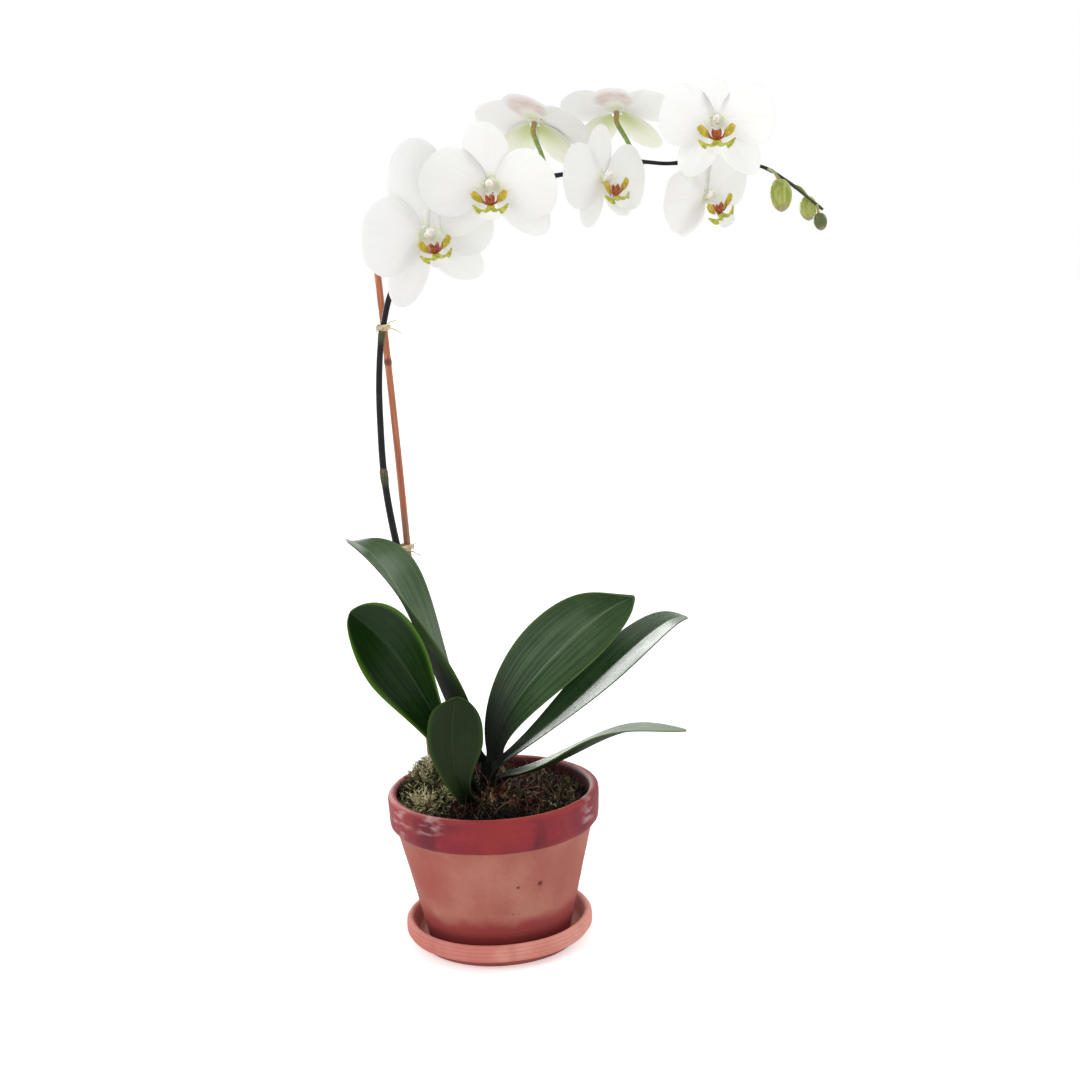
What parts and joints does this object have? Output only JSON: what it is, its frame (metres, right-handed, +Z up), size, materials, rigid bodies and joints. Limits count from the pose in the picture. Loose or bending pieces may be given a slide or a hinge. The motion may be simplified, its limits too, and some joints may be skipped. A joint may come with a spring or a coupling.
{
  "type": "potted orchid",
  "caption": "Moth orchid in a rimmed clay pot on a saucer: strap leaves, a staked arching spike of white flowers with yellow lips, and hanging buds.",
  "frame": {"origin": "centre of the saucer's flat underside", "axes": "+Z up through the pot; -Y is the front, where most of the flowers look; +X is the viewer's right, where the spike arches"},
  "size_m": [0.3425, 0.152, 0.5983],
  "materials": {
    "saucer_clay": "matte",
    "pot_clay": "satin",
    "bamboo": "satin",
    "bark_mix": "matte",
    "moss": "matte",
    "leaf": "satin",
    "petal": "satin",
    "lip": "satin",
    "spike": "satin",
    "bud": "satin",
    "raffia": "matte"
  },
  "bodies": {
    "root": {"saucer": "saucer_clay", "pot": "pot_clay", "stake": "bamboo", "potting_mix": "bark_mix", "moss_heap": "moss", "leaf_upper_left": "leaf", "leaf_lower_left": "leaf", "leaf_front": "leaf", "leaf_upper_right": "leaf", "leaf_middle_right": "leaf", "leaf_lower_right": "leaf", "flower_1_dorsal_sepal": "petal", "flower_1_left_sepal": "petal", "flower_1_right_sepal": "petal", "flower_1_left_petal": "petal", "flower_1_right_petal": "petal", "flower_1_lip": "lip", "flower_2_dorsal_sepal": "petal", "flower_2_left_sepal": "petal", "flower_2_right_sepal": "petal", "flower_2_left_petal": "petal", "flower_2_right_petal": "petal", "flower_2_lip": "lip", "flower_3_dorsal_sepal": "petal", "flower_3_left_sepal": "petal", "flower_3_right_sepal": "petal", "flower_3_left_petal": "petal", "flower_3_right_petal": "petal", "flower_3_lip": "lip", "flower_4_dorsal_sepal": "petal", "flower_4_left_sepal": "petal", "flower_4_right_sepal": "petal", "flower_4_left_petal": "petal", "flower_4_right_petal": "petal", "flower_4_lip": "lip", "flower_5_dorsal_sepal": "petal", "flower_5_left_sepal": "petal", "flower_5_right_sepal": "petal", "flower_5_left_petal": "petal", "flower_5_right_petal": "petal", "flower_5_lip": "lip", "flower_6_dorsal_sepal": "petal", "flower_6_left_sepal": "petal", "flower_6_right_sepal": "petal", "flower_6_left_petal": "petal", "flower_6_right_petal": "petal", "flower_6_lip": "lip", "flower_7_dorsal_sepal": "petal", "flower_7_left_sepal": "petal", "flower_7_right_sepal": "petal", "flower_7_left_petal": "petal", "flower_7_right_petal": "petal", "flower_7_lip": "lip", "flower_spike": "spike", "bud_1": "bud", "bud_2": "bud", "bud_3": "bud", "upper_tie": "raffia", "lower_tie": "raffia"}
  },
  "joints": []
}
